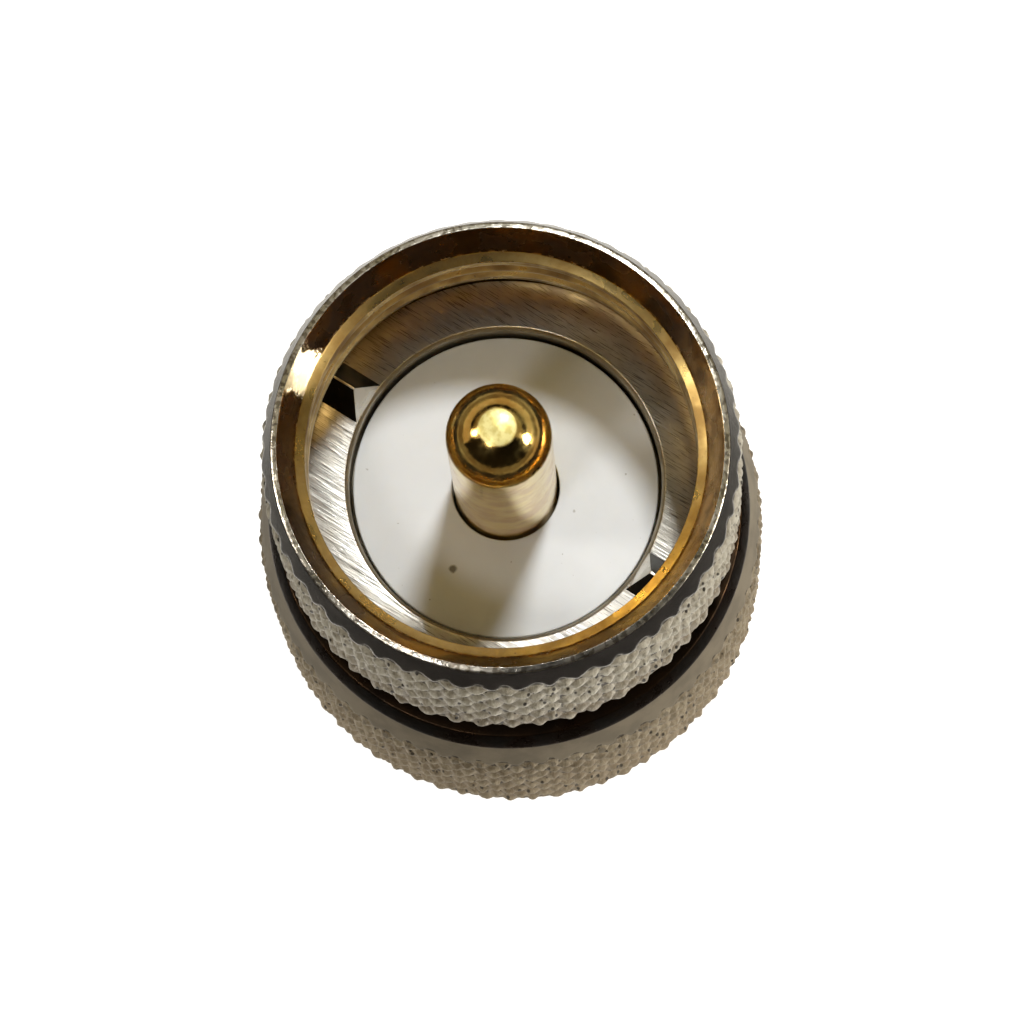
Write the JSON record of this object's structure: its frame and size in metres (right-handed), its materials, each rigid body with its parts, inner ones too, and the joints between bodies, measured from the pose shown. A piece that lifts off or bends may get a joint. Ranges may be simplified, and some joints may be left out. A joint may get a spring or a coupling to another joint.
{
  "type": "n plug adapter",
  "caption": "Straight coaxial adapter with a UHF plug at one end and an N plug at the other, each behind its own knurled coupling nut that spins on the shell.",
  "frame": {"origin": "on the adapter's axis, in the plane of the N coupling nut's mouth, on which it stands", "axes": "+Z along the axis towards the UHF pin; X through the two locating teeth of the UHF end"},
  "size_m": [0.0202, 0.0202, 0.0351],
  "materials": {
    "uhf_coupling_ring": "warm nickel plate on brass, knurled outside, slightly worn",
    "n_coupling_nut": "warm nickel plate on brass, knurled outside",
    "uhf_body": "nickel plate on brass, face milled straight across",
    "n_body": "nickel plate on turned brass",
    "n_outer_contact": "smooth nickel plate on spring brass",
    "n_snap_ring": "bare bronze spring wire",
    "n_gasket": "matt red silicone rubber",
    "uhf_insulator": "turned white fluoropolymer, waxy and half matt",
    "n_insulator": "turned white fluoropolymer, waxy and half matt",
    "uhf_pin": "polished gold plate on brass",
    "n_pin": "polished gold plate on brass"
  },
  "bodies": {
    "shell": {"uhf_body": "uhf_body", "n_body": "n_body", "n_outer_contact": "n_outer_contact", "n_snap_ring": "n_snap_ring", "n_gasket": "n_gasket", "uhf_insulator": "uhf_insulator", "n_insulator": "n_insulator", "uhf_pin": "uhf_pin", "n_pin": "n_pin"},
    "uhf_ring": {"uhf_coupling_ring": "uhf_coupling_ring"},
    "n_nut": {"n_coupling_nut": "n_coupling_nut"}
  },
  "joints": [
    {"name": "uhf_ring_spin", "type": "hinge", "parent": "shell", "child": "uhf_ring", "pos_m": [0, 0, 0.0215], "axis": [0, 0, 1], "continuous": true},
    {"name": "n_nut_spin", "type": "hinge", "parent": "shell", "child": "n_nut", "pos_m": [0, 0, 0.0148], "axis": [0, 0, 1], "continuous": true}
  ]
}
